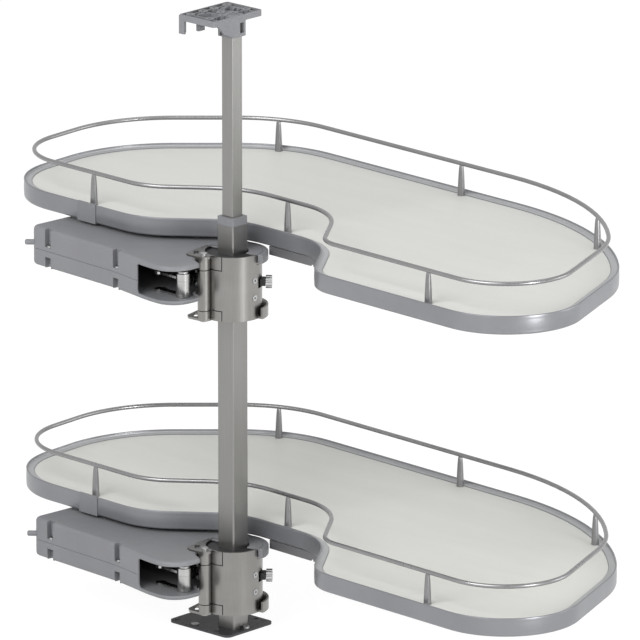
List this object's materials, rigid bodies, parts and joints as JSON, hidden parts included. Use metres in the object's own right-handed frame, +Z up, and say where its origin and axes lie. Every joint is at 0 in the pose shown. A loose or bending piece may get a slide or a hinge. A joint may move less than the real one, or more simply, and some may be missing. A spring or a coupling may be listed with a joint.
{
  "type": "corner carousel cabinet",
  "caption": "Corner carousel fitting: two white kidney-shaped trays with wire rails on swing-out arms round a telescopic square post",
  "frame": {"origin": "On the axis of the square post, at the underside of the floor plate, where it stands on the cabinet floor", "axes": "X along the trays, from the short lobe to the long one, at the cabinet's front; Y into the cabinet; Z up along the post"},
  "size_m": [0.8614, 0.423, 0.739],
  "materials": {
    "dark_metal": "satin dark grey coat",
    "bright_steel": "bright turned steel",
    "zinc_steel": "zinc plated",
    "nickel_steel": "brushed nickel plate",
    "silver_metal": "silver-grey powder coat, satin",
    "grey_metal": "grey coat, satin",
    "chrome_wire": "drawn wire, bright chrome",
    "grey_plastic": "fine matt grain",
    "silver_plastic": "satin silver-grey",
    "black_plastic": "matt black",
    "white_board": "melamine-faced board, off-white, fine grain"
  },
  "bodies": {
    "root": {"base_plate": "dark_metal", "foot_fasteners": "bright_steel", "outer_post": "silver_metal", "post_cap": "grey_plastic", "lower_post_core": "black_plastic", "lower_control_crank": "zinc_steel", "lower_stop_pin": "bright_steel", "lower_stop_fork": "zinc_steel", "upper_post_core": "black_plastic", "upper_control_crank": "zinc_steel", "upper_stop_pin": "bright_steel", "upper_stop_fork": "zinc_steel"},
    "mast": {"inner_post": "silver_metal", "top_bracket": "grey_plastic"},
    "lower_rod": {"lower_control_rod": "zinc_steel"},
    "lower_arm": {"lower_arm_bearing": "nickel_steel", "lower_arm_frame": "zinc_steel", "lower_housing_top": "grey_plastic", "lower_housing_bottom": "grey_plastic", "lower_housing_screws": "bright_steel", "lower_end_pin": "grey_plastic", "lower_hinge_pin": "bright_steel", "lower_spindle_bush": "black_plastic"},
    "lower_door": {"lower_clamp_door": "nickel_steel", "lower_door_screws": "bright_steel", "lower_lock_block": "black_plastic"},
    "lower_lock": {"lower_lock_knob": "bright_steel"},
    "lower_tray": {"lower_tray_spindle": "zinc_steel", "lower_tray_crank": "zinc_steel", "lower_tray_carrier": "grey_metal", "lower_tray_board": "white_board", "lower_tray_rim": "silver_metal", "lower_rim_clip": "silver_plastic", "lower_guard_rail": "chrome_wire", "lower_rail_posts": "silver_plastic"},
    "upper_rod": {"upper_control_rod": "zinc_steel"},
    "upper_arm": {"upper_arm_bearing": "nickel_steel", "upper_arm_frame": "zinc_steel", "upper_housing_top": "grey_plastic", "upper_housing_bottom": "grey_plastic", "upper_housing_screws": "bright_steel", "upper_end_pin": "grey_plastic", "upper_hinge_pin": "bright_steel", "upper_spindle_bush": "black_plastic"},
    "upper_door": {"upper_clamp_door": "nickel_steel", "upper_door_screws": "bright_steel", "upper_lock_block": "black_plastic"},
    "upper_lock": {"upper_lock_knob": "bright_steel"},
    "upper_tray": {"upper_tray_spindle": "zinc_steel", "upper_tray_crank": "zinc_steel", "upper_tray_carrier": "grey_metal", "upper_tray_board": "white_board", "upper_tray_rim": "silver_metal", "upper_rim_clip": "silver_plastic", "upper_guard_rail": "chrome_wire", "upper_rail_posts": "silver_plastic"}
  },
  "joints": [
    {"name": "post_height", "type": "slide", "parent": "root", "child": "mast", "axis": [0, 0, 1], "range_m": [-0.13, 0.02]},
    {"name": "lower_arm_swing", "type": "hinge", "parent": "root", "child": "lower_arm", "pos_m": [0, 0, 0.063], "axis": [0, 0, 1], "range_deg": [0, 75]},
    {"name": "lower_tray_turn", "type": "hinge", "parent": "lower_arm", "child": "lower_tray", "pos_m": [-0.17745, 0.01397, 0.09], "axis": [0, 0, 1], "range_deg": [0, 101.4]},
    {"name": "lower_rod_turn", "type": "hinge", "parent": "root", "child": "lower_rod", "pos_m": [-0.03464, -0.02, 0.0605], "axis": [0, 0, 1], "range_deg": [0, 109.7]},
    {"name": "lower_door_open", "type": "hinge", "parent": "lower_arm", "child": "lower_door", "pos_m": [-0.00753, -0.03949, 0.061], "axis": [0, 0, -1], "range_deg": [0, 55]},
    {"name": "lower_lock_turn", "type": "hinge", "parent": "lower_door", "child": "lower_lock", "pos_m": [0.03064, 0.02571, 0.0645], "axis": [0.766, 0.6428, 0], "range_deg": [0, 90]},
    {"name": "upper_arm_swing", "type": "hinge", "parent": "root", "child": "upper_arm", "pos_m": [0, 0, 0.414], "axis": [0, 0, 1], "range_deg": [0, 75]},
    {"name": "upper_tray_turn", "type": "hinge", "parent": "upper_arm", "child": "upper_tray", "pos_m": [-0.17745, 0.01397, 0.441], "axis": [0, 0, 1], "range_deg": [0, 101.4]},
    {"name": "upper_rod_turn", "type": "hinge", "parent": "root", "child": "upper_rod", "pos_m": [-0.03464, -0.02, 0.4115], "axis": [0, 0, 1], "range_deg": [0, 109.7]},
    {"name": "upper_door_open", "type": "hinge", "parent": "upper_arm", "child": "upper_door", "pos_m": [-0.00753, -0.03949, 0.412], "axis": [0, 0, -1], "range_deg": [0, 55]},
    {"name": "upper_lock_turn", "type": "hinge", "parent": "upper_door", "child": "upper_lock", "pos_m": [0.03064, 0.02571, 0.4155], "axis": [0.766, 0.6428, 0], "range_deg": [0, 90]}
  ],
  "couplings": [
    {"joint": "lower_tray_turn", "follows": "lower_arm_swing", "ratio": 1.3452},
    {"joint": "lower_rod_turn", "follows": "lower_arm_swing", "ratio": 1.4554},
    {"joint": "upper_tray_turn", "follows": "upper_arm_swing", "ratio": 1.3452},
    {"joint": "upper_rod_turn", "follows": "upper_arm_swing", "ratio": 1.4554}
  ]
}
